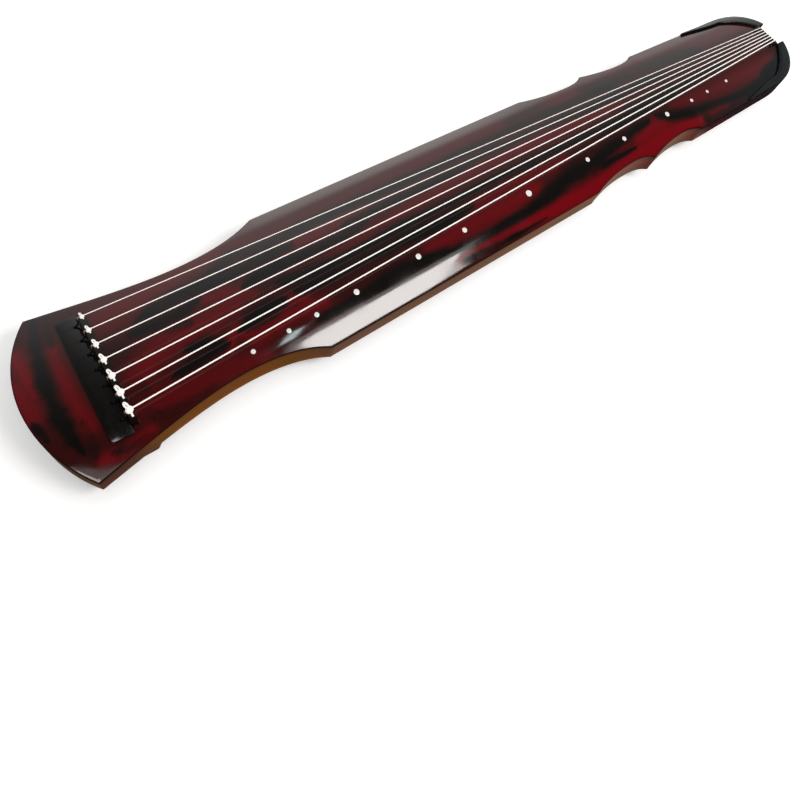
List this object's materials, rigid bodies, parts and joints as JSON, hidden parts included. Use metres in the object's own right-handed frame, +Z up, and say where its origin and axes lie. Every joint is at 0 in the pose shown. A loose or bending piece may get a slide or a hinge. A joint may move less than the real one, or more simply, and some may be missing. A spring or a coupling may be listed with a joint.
{
  "type": "seven-stringed zither",
  "caption": "Long lacquered zither with an arched board, half-moon cuts at neck and waist, strings over a raised bridge bar, round shell markers, goose feet and hanging tuning pegs.",
  "frame": {"origin": "middle of the length and width, on the surface that the feet and peg guards stand on", "axes": "+X from the head towards the tail, +Y from the marker side towards the player's side, +Z up"},
  "size_m": [1.2346, 0.208, 0.0994],
  "materials": {
    "lacquered_wood": "high-gloss lacquer in clouds of black and crimson",
    "dark_hardwood": "polished black hardwood",
    "bare_wood": "bare, planed",
    "silk_cord": "twisted dark red silk",
    "string": "smooth wound white string, slight sheen",
    "shell": "polished white shell"
  },
  "bodies": {
    "instrument": {"top_board": "lacquered_wood", "bottom_board": "lacquered_wood", "bottom_board_head": "lacquered_wood", "bridge_ridge": "dark_hardwood", "bridge_plate": "dark_hardwood", "peg_pool_plate": "dark_hardwood", "peg_guard_near": "dark_hardwood", "peg_guard_far": "dark_hardwood", "goose_foot_near": "dark_hardwood", "goose_foot_far": "dark_hardwood", "tail_nut": "dark_hardwood", "lower_nut": "dark_hardwood", "crown_corner_far": "dark_hardwood", "crown_corner_near": "dark_hardwood", "sound_post_round": "bare_wood", "sound_post_square": "bare_wood", "silk_cord_1": "silk_cord", "silk_cord_2": "silk_cord", "silk_cord_3": "silk_cord", "silk_cord_4": "silk_cord", "silk_cord_5": "silk_cord", "silk_cord_6": "silk_cord", "silk_cord_7": "silk_cord", "string_1": "string", "string_2": "string", "string_3": "string", "string_4": "string", "string_5": "string", "string_6": "string", "string_7": "string", "marker_1": "shell", "marker_2": "shell", "marker_3": "shell", "marker_4": "shell", "marker_5": "shell", "marker_6": "shell", "marker_7": "shell", "marker_8": "shell", "marker_9": "shell", "marker_10": "shell", "marker_11": "shell", "marker_12": "shell", "marker_13": "shell"},
    "tuning_peg_1": {"tuning_peg_1": "dark_hardwood"},
    "tuning_peg_2": {"tuning_peg_2": "dark_hardwood"},
    "tuning_peg_3": {"tuning_peg_3": "dark_hardwood"},
    "tuning_peg_4": {"tuning_peg_4": "dark_hardwood"},
    "tuning_peg_5": {"tuning_peg_5": "dark_hardwood"},
    "tuning_peg_6": {"tuning_peg_6": "dark_hardwood"},
    "tuning_peg_7": {"tuning_peg_7": "dark_hardwood"}
  },
  "joints": [
    {"name": "peg_1_turn", "type": "hinge", "parent": "instrument", "child": "tuning_peg_1", "pos_m": [-0.53426, -0.0603, 0.02], "axis": [0, 0, 1], "continuous": true},
    {"name": "peg_2_turn", "type": "hinge", "parent": "instrument", "child": "tuning_peg_2", "pos_m": [-0.53426, -0.0402, 0.02], "axis": [0, 0, 1], "continuous": true},
    {"name": "peg_3_turn", "type": "hinge", "parent": "instrument", "child": "tuning_peg_3", "pos_m": [-0.53426, -0.0201, 0.02], "axis": [0, 0, 1], "continuous": true},
    {"name": "peg_4_turn", "type": "hinge", "parent": "instrument", "child": "tuning_peg_4", "pos_m": [-0.53426, 0, 0.02], "axis": [0, 0, 1], "continuous": true},
    {"name": "peg_5_turn", "type": "hinge", "parent": "instrument", "child": "tuning_peg_5", "pos_m": [-0.53426, 0.0201, 0.02], "axis": [0, 0, 1], "continuous": true},
    {"name": "peg_6_turn", "type": "hinge", "parent": "instrument", "child": "tuning_peg_6", "pos_m": [-0.53426, 0.0402, 0.02], "axis": [0, 0, 1], "continuous": true},
    {"name": "peg_7_turn", "type": "hinge", "parent": "instrument", "child": "tuning_peg_7", "pos_m": [-0.53426, 0.0603, 0.02], "axis": [0, 0, 1], "continuous": true}
  ]
}
